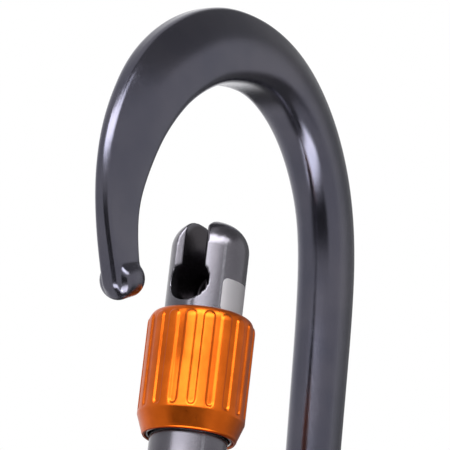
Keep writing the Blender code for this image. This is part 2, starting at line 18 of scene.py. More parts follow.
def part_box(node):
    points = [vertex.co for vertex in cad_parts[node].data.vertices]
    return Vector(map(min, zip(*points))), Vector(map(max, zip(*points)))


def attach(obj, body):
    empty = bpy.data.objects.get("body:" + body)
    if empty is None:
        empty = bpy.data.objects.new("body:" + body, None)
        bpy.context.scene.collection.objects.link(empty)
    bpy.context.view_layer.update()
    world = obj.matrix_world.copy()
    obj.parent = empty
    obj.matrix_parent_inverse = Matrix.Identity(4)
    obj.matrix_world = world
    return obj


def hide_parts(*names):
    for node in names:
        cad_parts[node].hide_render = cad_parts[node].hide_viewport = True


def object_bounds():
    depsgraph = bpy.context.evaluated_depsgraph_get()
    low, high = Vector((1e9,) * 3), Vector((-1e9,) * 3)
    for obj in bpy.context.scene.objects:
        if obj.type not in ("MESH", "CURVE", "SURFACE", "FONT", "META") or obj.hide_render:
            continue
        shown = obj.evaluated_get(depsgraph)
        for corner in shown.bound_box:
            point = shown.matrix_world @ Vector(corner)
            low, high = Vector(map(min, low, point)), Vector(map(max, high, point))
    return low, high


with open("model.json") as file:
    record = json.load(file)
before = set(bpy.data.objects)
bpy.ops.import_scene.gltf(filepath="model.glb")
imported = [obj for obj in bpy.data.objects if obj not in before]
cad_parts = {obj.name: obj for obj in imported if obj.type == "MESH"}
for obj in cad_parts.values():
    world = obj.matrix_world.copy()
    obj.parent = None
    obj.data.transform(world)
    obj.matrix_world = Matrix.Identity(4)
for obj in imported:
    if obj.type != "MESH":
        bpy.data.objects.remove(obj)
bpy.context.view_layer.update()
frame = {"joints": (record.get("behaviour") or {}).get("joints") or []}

MM = 0.001
GAP = 0.3 * MM
OVERRUN = 2.0 * MM

JOINTS = {joint["name"]: joint for joint in frame["joints"]}
HINGE = Vector(JOINTS["gate_hinge"]["pos_m"])
GATE_AXIS = Vector(JOINTS["sleeve_rise"]["axis"]).normalized()
KEEPER_PIVOT = Vector(JOINTS["keeper_hinge"]["pos_m"])
OPENED = -JOINTS["gate_hinge"]["range_deg"][0]
REST_LEAN = degrees(atan2(GATE_AXIS.x, GATE_AXIS.z))
CLOSED_LEAN = OPENED - REST_LEAN
IN_CLOSED = Vector((cos(radians(CLOSED_LEAN)), 0.0, sin(radians(CLOSED_LEAN))))

# The bar's centreline, as arcs (radius, degrees turned) outwards from the crown.
NOSE_ARCS = [(37.3 * MM, 30.0), (27.0 * MM, 42.0), (22.9 * MM, 20.0), (47.0 * MM, 9.9)]
SPINE_ARCS = [
    (36.0 * MM, 14.0),
    (24.2 * MM, 32.0),
    (28.7 * MM, 32.0),
    (30.0 * MM, 12.0),
    (46.0 * MM, 8.0),
    (150.0 * MM, 4.0),
]
BOTTOM_RADIUS = 17.85 * MM
PATH_STEP = 0.7 * MM  # between the bar's rings
PATH_EASE = 3.0 * MM  # either side of a point, over which curvature and section are averaged
EASE_SAMPLES = 15
WALK_STEP = 0.1 * MM

CROWN_DEPTH = 11.5 * MM

# The bar's section at a distance from the crown, minus on the nose side:
# distance, depth, thickness, slope of the outer facet in degrees, inner fillet.
BAR_SECTIONS = [
    (-60.0 * MM, 6.8 * MM, 3.3 * MM, 3.0, 0.9 * MM),
    (-52.0 * MM, 7.1 * MM, 3.3 * MM, 3.0, 0.9 * MM),
    (-45.0 * MM, 8.5 * MM, 3.4 * MM, 6.0, 1.0 * MM),
    (-36.0 * MM, 10.8 * MM, 5.4 * MM, 12.0, 1.6 * MM),
    (-25.0 * MM, 11.5 * MM, 7.8 * MM, 19.0, 2.1 * MM),
    (-12.0 * MM, 11.4 * MM, 9.2 * MM, 24.0, 2.3 * MM),
    (0.0 * MM, CROWN_DEPTH, 9.2 * MM, 24.0, 2.5 * MM),
    (13.0 * MM, 10.1 * MM, 8.9 * MM, 20.0, 2.9 * MM),
    (26.0 * MM, 9.6 * MM, 8.0 * MM, 12.0, 3.2 * MM),
    (40.0 * MM, 9.5 * MM, 7.3 * MM, 7.0, 3.4 * MM),
    (52.0 * MM, 9.4 * MM, 7.2 * MM, 6.0, 3.4 * MM),
    (84.0 * MM, 8.4 * MM, 7.2 * MM, 6.0, 3.4 * MM),
    (120.0 * MM, 8.8 * MM, 7.2 * MM, 6.0, 2.8 * MM),
    (200.0 * MM, 8.8 * MM, 7.2 * MM, 6.0, 2.8 * MM),
]
RIDGE_SHARE = 0.4  # of the ground between the inner fillet and the outer edge, where the ridge is
RIDGE_ROUND = 1.7 * MM  # of the facet that the ridge's rounding takes
RIDGE_ROUND_SHARE = 0.9  # of the flat side, the most that it takes there
OUTER_EDGE = 1.3 * MM
EDGE_SHARE = 0.27  # of the thickness, the most that the outer edge's radius takes
FACET_CROWN = 0.25  # how much the outer facet's slope grows from the ridge to the outer edge
THIN_BAR = 3.3 * MM  # thickness at which the facet is flat
FULL_BAR = 7.0 * MM  # thickness from which it has its full crown
FILLET_STEPS = 12
RIDGE_STEPS = 5
FACET_STEPS = 5
EDGE_STEPS = 8
FACE_STEPS = 3  # along each half of the inner and the outer face

CATCH_RADIUS = 2.8 * MM
CATCH_LENGTH = 5.4 * MM
CATCH_EDGE = 1.3 * MM
CATCH_INSET = 0.3 * MM
CATCH_BLEND = 0.7 * MM  # over which the arm flows into the catch
CATCH_REACH = 8.0 * MM  # of the arm above the catch that is shaped with it
ARM_END = 2.3 * MM  # how far the arm's rounded end hangs below the catch's centre
CATCH_ROWS = 26
ARM_END_ROWS = 12
CATCH_HALVINGS = 30  # of the distance in which the catch's surface is looked for

# The hinge end of the frame.
TONGUE_WIDTH = 4.2 * MM
TONGUE_RADIUS = 4.3 * MM
TONGUE_EDGE = 0.3 * MM
CAM_RISE = 1.6 * MM  # from the closed gate to the gate at rest
CAM_MARGIN = 6.0  # degrees that the cam runs on past both
CAM_STEPS = 24
HEEL_STEPS = 32
HEEL_EASE = 0.3  # of the heel, over which it falls back to the tongue's radius
SHOULDER_RADIUS = 6.3 * MM
PIN_RADIUS = 1.5 * MM
PIN_HEAD_RADIUS = 2.2 * MM
PIN_HEAD_START = 4.6 * MM
PIN_HALF_LENGTH = 5.7 * MM

# The gate, in heights along its barrel from the pin.
BARREL_RADIUS = 5.8 * MM
CATCH_HEIGHT = 48.0 * MM
TIP_HEIGHT = 58.0 * MM
TIP_ROUND = 4.3 * MM
CAVITY_RADIUS = 3.3 * MM
CAVITY_BACK = 2.95 * MM
SLOT_WIDTH = 3.7 * MM
SLOT_TIP_BACK = 5.4 * MM
SLOT_CHAMFER = 0.8 * MM
FORK_WIDTH = 4.8 * MM
FORK_TOP = 7.0 * MM
BORE_RADIUS = 1.7 * MM
BORE_TOP = 30.0 * MM
THREAD_PITCH = 2.5 * MM
THREAD_BOTTOM = 27.5 * MM
THREAD_TURNS = 3.5
THREAD_DEPTH = 0.45 * MM
THREAD_WIDTH = 1.2 * MM
GATE_VOXEL = 0.16 * MM
GATE_SMOOTHING = 5
TRUED_WHOLLY = 0.45  # voxels from the true surface within which a point is put on it
TRUED_PARTLY = 1.0  # voxels from which a point stays where it is

# The blank patch on the gate: where it faces round the barrel, and its size on the barrel's skin.
PATCH_ANGLE = radians(-93.0)
PATCH_HEIGHT = 46.1 * MM
PATCH_WIDTH = 6.2 * MM
PATCH_LENGTH = 5.2 * MM
PATCH_CORNER = 0.9 * MM
SHADE_START_DEPTH = 0.7 * MM  # depth under the barrel's skin from which painted shade starts in its cuts
SHADE_FULL_DEPTH = 1.5 * MM

# The rivet's heads, and the plunger and its spring in the same heights as the gate.
PIN_HEAD_DOME = 0.35 * MM
ROD_GAP = 0.5 * MM
ROD_RADIUS = 1.0 * MM
ROD_HEAD_RADIUS = 1.4 * MM
ROD_HEAD_BOTTOM = 14.0 * MM
ROD_HEAD_LENGTH = 1.5 * MM
ROD_HEAD_EDGE = 0.15 * MM
SPRING_WIRE = 0.5 * MM
SPRING_COILS = 8
SPRING_OUTER = 1.4 * MM

# The screw sleeve, in the same heights.
SLEEVE_BOTTOM = 24.9 * MM
SLEEVE_TOP = 43.6 * MM
SLEEVE_BORE = 6.12 * MM
SLEEVE_RADIUS = 8.0 * MM
SLEEVE_LIP = 7.1 * MM  # radius of the lower rim
SLEEVE_LIP_ROUND = 0.5 * MM
SLEEVE_BAND = 3.0 * MM
SLEEVE_SHOULDER = 2.0 * MM
SHOULDER_WIDTH = SLEEVE_SHOULDER * 0.7
SLEEVE_TOP_EDGE = 0.4 * MM
SEAT_RISE = 0.2 * MM  # of the chamfer between the bore and the ring's seat
SEAT_CHAMFER = 0.1 * MM
MOUTH_CHAMFER = 0.15 * MM
BAND_ROWS = 16
PAD_ROWS = 70
SHOULDER_ROWS = 24
PADS = 18
PAD_COLUMNS = 22
PAD_RISE = 0.26 * MM
GROOVE_WIDTH = 1.15 * MM
PAD_EDGE = 0.25 * MM
GROOVE_RUN_OUT = 0.5 * MM  # above the smooth band
PAD_TOP = 0.9 * MM  # below the sleeve's top rim
RING_INNER = 6.12 * MM
RING_OUTER = 6.42 * MM
RING_HEIGHT = 1.2 * MM
RING_INSET = 0.15 * MM  # of the ring above the sleeve's lower rim
RING_SPLIT = 1.6 * MM
RING_EDGE = 0.08 * MM

WIRE_RADIUS = 1.0 * MM
KEEPER_END_WIDTH = 5.6 * MM
KEEPER_BEND = 2.0 * MM
KEEPER_WAIST = (0.5, 4.2 * MM)  # share of the keeper's length, and half its width there
KEEPER_HOLE_DEPTH = 2.4 * MM

# The camera, in degrees round the carabiner, above the horizon and round its own axis.
CAMERA_AZIMUTH = -59.0
CAMERA_ELEVATION = -3.5
CAMERA_ROLL = -1.3
CAMERA_DISTANCE = 0.8
CAMERA_TARGET = (-1.5 * MM, 0.0, -21.1 * MM)
CAMERA_VIEW = 67.1642 * MM  # width of the view at the target
CAMERA_SENSOR = 36.0

FLOOR_SIZE = 1.5
FLOOR_DROP = 0.5 * MM  # below the carabiner


# ---------------------------------------------------------------- mesh helpers


def mesh_from(bm, name):
    bmesh.ops.recalc_face_normals(bm, faces=bm.faces)
    mesh = bpy.data.meshes.new(name)
    bm.to_mesh(mesh)
    bm.free()
    return mesh


def new_object(name, data):
    made = bpy.data.objects.new(name, data)
    bpy.context.scene.collection.objects.link(made)
    return made


def skin(bm, rings, wrap=False):
    """Joins closed rings of equal length, and caps the ends or wraps round to the first."""
    rows = [[bm.verts.new(point) for point in ring] for ring in rings]
    count = len(rows[0])
    pairs = list(zip(rows, rows[1:]))
    if wrap:
        pairs.append((rows[-1], rows[0]))
    for near, far in pairs:
        for i in range(count):
            j = (i + 1) % count
            bm.faces.new((near[i], near[j], far[j], far[i]))
    if not wrap:
        bm.faces.new(rows[0][::-1])
        bm.faces.new(rows[-1])


def cylinder(bm, radius, length, centre, axis, segments=64):
    turn = Vector((0.0, 0.0, 1.0)).rotation_difference(Vector(axis)).to_matrix().to_4x4()
    bmesh.ops.create_cone(
        bm,
        cap_ends=True,
        segments=segments,
        radius1=radius,
        radius2=radius,
        depth=length,
        matrix=Matrix.Translation(centre) @ turn,
    )


def box(bm, low, high):
    size = Vector(high) - Vector(low)
    middle = (Vector(high) + Vector(low)) / 2
    place = Matrix.Translation(middle) @ Matrix.Diagonal((*size, 1.0))
    bmesh.ops.create_cube(bm, size=1.0, matrix=place)


def arc_points(centre, radii, start, end, steps):
    """Points on an ellipse's arc, in degrees from the first axis."""
    return [
        (
            centre[0] + radii[0] * cos(radians(start + (end - start) * i / steps)),
            centre[1] + radii[1] * sin(radians(start + (end - start) * i / steps)),
        )
        for i in range(steps + 1)
    ]


def lathe(name, outline, steps):
    """A closed outline of (radius, height) turned about Z. Points on the axis close the ends."""
    bm = bmesh.new()
    points = [bm.verts.new((radius, 0.0, height)) for radius, height in outline]
    edges = [bm.edges.new(pair) for pair in zip(points, points[1:])]
    bmesh.ops.spin(
        bm,
        geom=points + edges,
        cent=(0, 0, 0),
        axis=(0, 0, 1),
        angle=2 * pi,
        steps=steps,
        use_duplicate=False,
    )
    bmesh.ops.remove_doubles(bm, verts=bm.verts, dist=0.001 * MM)
    return mesh_from(bm, name)


def shaped(name, mesh, steps):
    """mesh after (operation, other mesh) booleans, and other modifiers as (type, settings)."""
    base = new_object(name, mesh)
    helpers = []
    for kind, value in steps:
        if kind in ("UNION", "DIFFERENCE", "INTERSECT"):
            modifier = base.modifiers.new(kind, "BOOLEAN")
            modifier.operation = kind
            modifier.solver = "EXACT"
            helpers.append(new_object(f"{name}_helper", value))
            modifier.object = helpers[-1]
            continue
        modifier = base.modifiers.new(kind, kind)
        for key, setting in value.items():
            setattr(modifier, key, setting)
    bpy.context.view_layer.update()
    graph = bpy.context.evaluated_depsgraph_get()
    result = bpy.data.meshes.new_from_object(base.evaluated_get(graph))
    for thing in [base, *helpers]:
        bpy.data.objects.remove(thing)
    result.name = name
    return result


def eased(value):
    value = np.clip(value, 0.0, 1.0)
    return value * value * (3.0 - 2.0 * value)


def soft_max(a, b, blend):
    """The greater of a and b, with a fillet where they come within blend of each other."""
    near = np.clip(blend - np.abs(a - b), 0.0, None) / blend
    return np.maximum(a, b) + near * near * blend / 4


GATE_FRAME = Matrix.Translation(HINGE) @ Matrix.Rotation(radians(REST_LEAN), 4, "Y")


def finish_piece(name, mesh, material, body, nodes, place=None, sharp=35.0):
    """Turns a mesh into a piece that rides on body and stands for CAD nodes."""
    if place is not None:
        mesh.transform(place)
    piece = new_object(name, mesh)
    mesh.materials.clear()
    mesh.materials.append(material)
    mesh.shade_smooth()
    mesh.set_sharp_from_angle(angle=radians(sharp))
    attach(piece, body)
    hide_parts(*nodes)


# ---------------------------------------------------------------- materials


class Nodes:
    """Short ways to add nodes to a node tree."""

    def __init__(self, tree):
        self.tree = tree

    def node(self, kind, settings=None, **inputs):
        made = self.tree.nodes.new(kind)
        for key, value in (settings or {}).items():
            setattr(made, key, value)
        for key, value in inputs.items():
            self.feed(made, key.replace("_", " "), value)
        return made

    def feed(self, node, key, value):
        socket = node.inputs[int(key)] if key.isdigit() else node.inputs[key]
        if isinstance(value, bpy.types.NodeSocket):
            self.tree.links.new(value, socket)
        else:
            socket.default_value = value

    def math(self, operation, first, second=0.0):
        made = self.node("ShaderNodeMath", {"operation": operation})
        self.feed(made, "0", first)
        self.feed(made, "1", second)
        return made.outputs[0]

    def dot(self, vector, direction):
        made = self.node("ShaderNodeVectorMath", {"operation": "DOT_PRODUCT"})
        self.feed(made, "0", vector)
        self.feed(made, "1", tuple(direction))
        return made.outputs["Value"]

    def spread(self, value, low, high, out_low, out_high, kind="LINEAR"):
        made = self.node("ShaderNodeMapRange", {"interpolation_type": kind, "clamp": True}, Value=value)
        limits = {"From Min": low, "From Max": high, "To Min": out_low, "To Max": out_high}
        for key, number in limits.items():
            made.inputs[key].default_value = number
        return made.outputs["Result"]

    def mix(self, share, first, second):
        made = self.node("ShaderNodeMix", {"data_type": "RGBA"})
        for index, value in ((0, share), (6, first), (7, second)):
            if isinstance(value, bpy.types.NodeSocket):
                self.tree.links.new(value, made.inputs[index])
            else:
                made.inputs[index].default_value = value if index == 0 else (*value, 1.0)
        return made.outputs[2]


class Shader(Nodes):
    """A material with a Principled shader, and ways to drive its colour, roughness and bump."""

    def __init__(self, name, colour, metallic, roughness):
        self.material = bpy.data.materials.new(name)
        self.material.use_nodes = True
        super().__init__(self.material.node_tree)
        self.surface = self.tree.nodes["Principled BSDF"]
        self.surface.inputs["Base Color"].default_value = (*colour, 1.0)
        self.surface.inputs["Metallic"].default_value = metallic
        self.surface.inputs["Roughness"].default_value = roughness
        self.position = self.tree.nodes.new("ShaderNodeTexCoord").outputs["Object"]

    def moved(self, offset):
        made = self.node("ShaderNodeVectorMath", {"operation": "SUBTRACT"})
        self.feed(made, "0", self.position)
        self.feed(made, "1", tuple(offset))
        return made.outputs["Vector"]

    def noise(self, size, detail=3.0, stretch=(1.0, 1.0, 1.0), roughness=0.6):
        """Noise whose features are about size across, in metres. stretch draws them out."""
        place = self.node("ShaderNodeMapping", Vector=self.position)
        place.inputs["Scale"].default_value = tuple(1.0 / s for s in stretch)
        made = self.node("ShaderNodeTexNoise", Vector=place.outputs["Vector"], Scale=1.0 / size)
        made.inputs["Detail"].default_value = detail
        made.inputs["Roughness"].default_value = roughness
        return made.outputs["Fac"]

    def clouded(self, size, dark, light):
        """A colour that wanders between dark and light in clouds about size across."""
        cloud = self.noise(size, detail=2.0)
        return self.mix(self.spread(cloud, 0.35, 0.65, 0.0, 1.0), dark, light)

    def colour(self, socket):
        self.tree.links.new(socket, self.surface.inputs["Base Color"])

    def rough(self, socket):
        self.tree.links.new(socket, self.surface.inputs["Roughness"])

    def bump(self, layers):
        """layers are (height socket, depth in metres), the coarsest first."""
        normal = None
        for height, depth in layers:
            made = self.node("ShaderNodeBump", Height=height, Strength=1.0, Distance=depth)
            if normal is not None:
                self.tree.links.new(normal, made.inputs["Normal"])
            normal = made.outputs["Normal"]
        self.tree.links.new(normal, self.surface.inputs["Normal"])

    def edges(self, low, high):
        """0 on flat ground, 1 on the model's convex edges."""
        point = self.node("ShaderNodeNewGeometry").outputs["Pointiness"]
        return self.spread(point, low, high, 0.0, 1.0)


def anodised_forging():
    """Dark blue-grey anodising over tumbled aluminium: a satin gloss with a fine glittery grain."""
    made = Shader("gunmetal_anodised", (0.10, 0.103, 0.125), 0.95, 0.26)
    grain = made.noise(0.22 * MM, detail=4.0, roughness=0.7)
    tone = made.clouded(9.0 * MM, (0.080, 0.080, 0.104), (0.100, 0.097, 0.120))
    fleck = made.spread(grain, 0.55, 0.75, 0.0, 0.35)
    tone = made.mix(fleck, tone, (0.17, 0.17, 0.20))
    worn = made.math("MULTIPLY", made.edges(0.56, 0.66), made.spread(grain, 0.45, 0.6, 0.0, 0.35))
    made.colour(made.mix(worn, tone, (0.32, 0.32, 0.34)))
    made.rough(made.spread(grain, 0.3, 0.7, 0.10, 0.20))
    made.bump([(made.noise(1.6 * MM, detail=1.0), 0.006 * MM), (grain, 0.016 * MM)])
    return made.material


def satin_barrel():
    """Grey anodising on a turned barrel: fine rings, a blank lighter patch and painted shade inside its
    cuts.
    """
    made = Shader("satin_aluminium", (0.16, 0.155, 0.17), 0.95, 0.28)
    from_hinge = made.moved(HINGE)
    height = made.dot(from_hinge, GATE_AXIS)
    ahead = GATE_FRAME.to_3x3() @ Vector((cos(PATCH_ANGLE), sin(PATCH_ANGLE), 0.0))
    across = GATE_FRAME.to_3x3() @ Vector((-sin(PATCH_ANGLE), cos(PATCH_ANGLE), 0.0))
    turn = made.math("ARCTAN2", made.dot(from_hinge, across), made.dot(from_hinge, ahead))
    side = made.math("MULTIPLY", turn, BARREL_RADIUS)
    # Painted shade: the keyhole, slot, fork and bores are darkened by their depth under the barrel's skin,
    # standing in for the shade inside them.
    beyond = made.math("MAXIMUM", made.math("SUBTRACT", height, TIP_HEIGHT - TIP_ROUND), 0.0)
    dome_squared = made.math("SUBTRACT", TIP_ROUND**2, made.math("POWER", beyond, 2.0))
    dome = made.math("SQRT", made.math("MAXIMUM", dome_squared, 0.0))
    skin_radius = made.math("ADD", dome, BARREL_RADIUS - TIP_ROUND)
    squares = [made.math("POWER", made.dot(from_hinge, way), 2.0) for way in (ahead, across)]
    sunk = made.math("SUBTRACT", skin_radius, made.math("SQRT", made.math("ADD", *squares)))
    painted_shade = made.spread(sunk, SHADE_START_DEPTH, SHADE_FULL_DEPTH, 0.0, 1.0)
    above = made.math("SUBTRACT", height, PATCH_HEIGHT)
    inside = []
    for value, half in ((side, PATCH_WIDTH / 2), (above, PATCH_LENGTH / 2)):
        over = made.math("SUBTRACT", made.math("ABSOLUTE", value), half - PATCH_CORNER)
        inside.append(made.math("POWER", made.math("MAXIMUM", over, 0.0), 2.0))
    corner = made.math("SQRT", made.math("ADD", *inside))
    patch = made.spread(corner, PATCH_CORNER - 0.06 * MM, PATCH_CORNER + 0.02 * MM, 1.0, 0.0)
    rings = made.node("ShaderNodeTexNoise", {"noise_dimensions": "1D"}, W=height, Scale=1.0 / (0.12 * MM))
    grain = made.noise(0.16 * MM, detail=3.0, roughness=0.7)
    tone = made.clouded(7.0 * MM, (0.100, 0.096, 0.110), (0.125, 0.119, 0.134))
    worn = made.math("MULTIPLY", made.edges(0.53, 0.60), made.spread(grain, 0.4, 0.6, 0.1, 0.6))
    tone = made.mix(worn, tone, (0.26, 0.26, 0.28))
    # the painted shade's dark colour inside the cuts
    tone = made.mix(painted_shade, tone, (0.045, 0.040, 0.045))
    made.colour(made.mix(patch, tone, (0.36, 0.35, 0.36)))
    bare = made.spread(grain, 0.3, 0.7, 0.17, 0.28)
    made.rough(made.math("MAXIMUM", bare, made.math("MULTIPLY", patch, 0.55)))
    made.bump([(rings.outputs["Fac"], 0.0015 * MM), (grain, 0.006 * MM)])
    return made.material


def orange_sleeve():
    """Deep orange anodising, a little paler on worn edges."""
    made = Shader("orange_anodised", (0.63, 0.13, 0.008), 0.95, 0.30)
    grain = made.noise(0.25 * MM, detail=4.0, roughness=0.7)
    cloud = made.noise(3.0 * MM, detail=2.0)
    share = made.spread(cloud, 0.35, 0.65, 0.0, 1.0)
    tone = made.mix(share, (0.46, 0.082, 0.005), (0.54, 0.102, 0.007))
    worn = made.math("MULTIPLY", made.edges(0.56, 0.68), made.spread(grain, 0.45, 0.6, 0.0, 0.5))
    made.colour(made.mix(worn, tone, (0.72, 0.22, 0.03)))
    made.rough(made.spread(grain, 0.3, 0.7, 0.27, 0.37))
    made.bump([(cloud, 0.006 * MM), (grain, 0.009 * MM)])
    return made.material


def drawn_steel(name, colour, roughness, size, stretch):
    """Bright or drawn steel, with fine lines along stretch."""
    made = Shader(name, colour, 1.0, roughness)
    lines = made.noise(size, detail=3.0, stretch=stretch)
    dark = tuple(0.82 * channel for channel in colour)
    made.colour(made.mix(made.spread(lines, 0.3, 0.7, 0.0, 1.0), dark, colour))
    made.rough(made.spread(lines, 0.3, 0.7, roughness * 0.8, roughness * 1.3))
    made.bump([(lines, 0.003 * MM)])
    return made.material


# ---------------------------------------------------------------- frame


class Centreline:
    """The bar's centreline by distance from the crown, with its curvature and section eased."""

    def __init__(self):
        self.sections = np.array(BAR_SECTIONS)
        self.knots = [0.0]
        self.headings = [0.0]
        for radius, turn in NOSE_ARCS:
            self.knots.insert(0, self.knots[0] - radius * radians(turn))
            self.headings.insert(0, self.headings[0] - turn)
        for radius, turn in SPINE_ARCS:
            self.add(radius * radians(turn), turn)
        self.nose_end = self.knots[0]
        self.add_tail()

    def add(self, length, turn=0.0):
        self.knots.append(self.knots[-1] + length)
        self.headings.append(self.headings[-1] + turn)

    def add_tail(self):
        """The straight spine, the bottom arc and the straight run up to the hinge."""
        corner = self.walked(self.knots[-1], ease=0.0)
        heading = self.headings[-1]
        down = Vector((cos(radians(heading)), 0.0, -sin(radians(heading))))
        sweep = 270.0 - CLOSED_LEAN - heading
        start = Vector((sin(radians(heading)), 0.0, cos(radians(heading))))
        end = Vector((sin(radians(heading + sweep)), 0.0, cos(radians(heading + sweep))))
        arc = (end - start) * BOTTOM_RADIUS
        self.add(IN_CLOSED.dot(HINGE - corner - arc) / IN_CLOSED.dot(down))
        self.add(BOTTOM_RADIUS * radians(sweep), sweep)
        bottom = self.walked(self.knots[-1], ease=0.0)
        self.add((HINGE - bottom).length)

    def heading(self, distance, ease=PATH_EASE):
        """Degrees below level, towards the spine, averaged over ease to either side."""
        around = np.linspace(-ease, ease, EASE_SAMPLES)
        places = np.add.outer(np.atleast_1d(distance), around)
        return np.interp(places, self.knots, self.headings).mean(axis=1)

    def directions(self, distance):
        """Outwards from the bar's inner face, and onwards along the bar."""
        heading = radians(float(self.heading(distance)[0]))
        out = Vector((sin(heading), 0.0, cos(heading)))
        return out, Vector((cos(heading), 0.0, -sin(heading)))

    def walked(self, distance, ease=PATH_EASE):
        """The point at distance from the crown, by small steps along the heading."""
        steps = max(2, int(abs(distance) / WALK_STEP))
        middles = (np.arange(steps) + 0.5) / steps * distance
        headings = np.radians(self.heading(middles, ease))
        step = distance / steps
        along = float(np.cos(headings).sum() * step)
        fallen = float(np.sin(headings).sum() * step)
        return Vector((along, 0.0, CROWN_DEPTH / 2 - fallen))

    def section(self, distance):
        """Depth, thickness, facet slope and inner fillet."""
        around = distance + np.linspace(-PATH_EASE, PATH_EASE, EASE_SAMPLES)
        distances, *columns = self.sections.T
        return [float(np.interp(around, distances, column).mean()) for column in columns]


def bar_outline(depth, thickness, slope, fillet):
    """The bar's section as (u, v), u outwards from the inner face and v across, once round."""
    half = thickness / 2
    edge = min(OUTER_EDGE, EDGE_SHARE * thickness)
    ridge = fillet + RIDGE_SHARE * (depth - fillet - edge)
    lean = radians(slope)
    crown = FACET_CROWN * float(np.clip((thickness - THIN_BAR) / (FULL_BAR - THIN_BAR), 0.0, 1.0))

    def facet(u):
        past = max(0.0, u - ridge)
        return half - tan(lean) * (u - ridge) - crown * past * past / (2 * (depth - ridge))

    last_lean = atan(tan(lean) + crown * (depth - edge - ridge) / (depth - ridge))
    edge_start = depth - edge + edge * sin(last_lean)
    edge_centre = facet(edge_start) - edge * cos(last_lean)
    before = min(RIDGE_ROUND, (ridge - fillet) * RIDGE_ROUND_SHARE)
    after = RIDGE_ROUND * cos(lean)
    outline = [(0.0, (half - fillet) * i / FACE_STEPS) for i in range(1, FACE_STEPS)]
    for u, v in arc_points((0.0, 0.0), (fillet, fillet), 0.0, 90.0, FILLET_STEPS):
        outline.append((fillet - u, half - fillet + v))
    for i in range(RIDGE_STEPS + 1):
        share = i / RIDGE_STEPS
        u = ridge + (share * share * after - (1 - share) ** 2 * before)
        outline.append((u, half - share * share * (half - facet(ridge + after))))
    slope_start = outline[-1][0]
    for i in range(1, FACET_STEPS):
        u = slope_start + (edge_start - slope_start) * i / FACET_STEPS
        outline.append((u, facet(u)))
    outline += arc_points(
        (depth - edge, edge_centre), (edge, edge), 90.0 - degrees(last_lean), 0.0, EDGE_STEPS
    )
    outline += [(depth, edge_centre * (1 - i / FACE_STEPS)) for i in range(1, FACE_STEPS)]
    mirrored = [(u, -v) for u, v in reversed(outline)]
    return [(0.0, 0.0), *outline, (depth, 0.0), *mirrored]


def catch_reach(direction, height):
    """How far the rounded catch reaches from the point height above its centre, in direction.

    direction is (up, across the arm's depth, across its thickness), one row each.
    """
    low = np.zeros(len(direction))
    high = np.full(len(direction), 3 * CATCH_RADIUS)
    for _ in range(CATCH_HALVINGS):
        middle = (low + high) / 2
        points = direction * middle[:, None]
        out = np.hypot(points[:, 0] + height, points[:, 2]) - (CATCH_RADIUS - CATCH_EDGE)
        along = np.abs(points[:, 1]) - (CATCH_LENGTH / 2 - CATCH_EDGE)
        beyond = np.hypot(np.maximum(out, 0.0), np.maximum(along, 0.0))
        within = np.minimum(np.maximum(out, along), 0.0)
        inside = beyond + within < CATCH_EDGE
        low = np.where(inside, middle, low)
        high = np.where(inside, high, middle)
    return low


def nose_rings(line):
    """Rings from under the catch up to where the arm is plain bar again."""
    rings = []
    rows = [(0.0, 90.0 * (1 - i / ARM_END_ROWS)) for i in range(1, ARM_END_ROWS)]
    rows += [(CATCH_REACH * i / CATCH_ROWS, 0.0) for i in range(CATCH_ROWS + 1)]
    for height, drop in rows:
        distance = line.nose_end + height
        sizes = line.section(distance)
        flat = np.array(bar_outline(*sizes)) - (sizes[0] / 2 - CATCH_INSET, 0.0)
        arm = np.hypot(flat[:, 0], flat[:, 1])
        ways = flat / arm[:, None]
        fallen = radians(drop)
        direction = np.column_stack([np.full(len(flat), -sin(fallen)), ways * cos(fallen)])
        arm = 1.0 / np.sqrt((cos(fallen) / arm) ** 2 + (sin(fallen) / ARM_END) ** 2)
        reach = soft_max(arm, catch_reach(direction, height), CATCH_BLEND)
        out, up = line.directions(distance)
        centre = line.walked(distance) - out * CATCH_INSET
        ring = []
        for t, u, v in (direction * reach[:, None]).tolist():
            ring.append(centre + up * t + out * u + Vector((0.0, v, 0.0)))
        rings.append(ring)
    return rings


def tongue_mesh():
    """The tongue's end, whose radius grows towards the inside as the cam for the push rod."""
    closed = 90.0 + CLOSED_LEAN
    per_degree = CAM_RISE / OPENED
    swept = OPENED + 2 * CAM_MARGIN
    polar = []
    for i in range(CAM_STEPS + 1):
        opened = swept * i / CAM_STEPS - CAM_MARGIN
        polar.append((TONGUE_RADIUS + per_degree * max(0.0, opened), closed - opened))
    peak = TONGUE_RADIUS + per_degree * (OPENED + CAM_MARGIN)
    start = closed - OPENED - CAM_MARGIN
    for i in range(1, HEEL_STEPS):
        share = i / HEEL_STEPS
        radius = peak + (TONGUE_RADIUS - peak) * float(eased(share / HEEL_EASE))
        polar.append((radius, start - share * (360.0 - swept)))
    half = TONGUE_WIDTH / 2
    flat = half - TONGUE_EDGE
    rings = []
    for y, inset in ((-half, TONGUE_EDGE), (-flat, 0.0), (flat, 0.0), (half, TONGUE_EDGE)):
        ring = []
        for radius, angle in polar:
            reach = radius - inset
            ring.append(HINGE + Vector((reach * cos(radians(angle)), y, reach * sin(radians(angle)))))
        rings.append(ring)
    bm = bmesh.new()
    skin(bm, rings)
    return mesh_from(bm, "tongue")


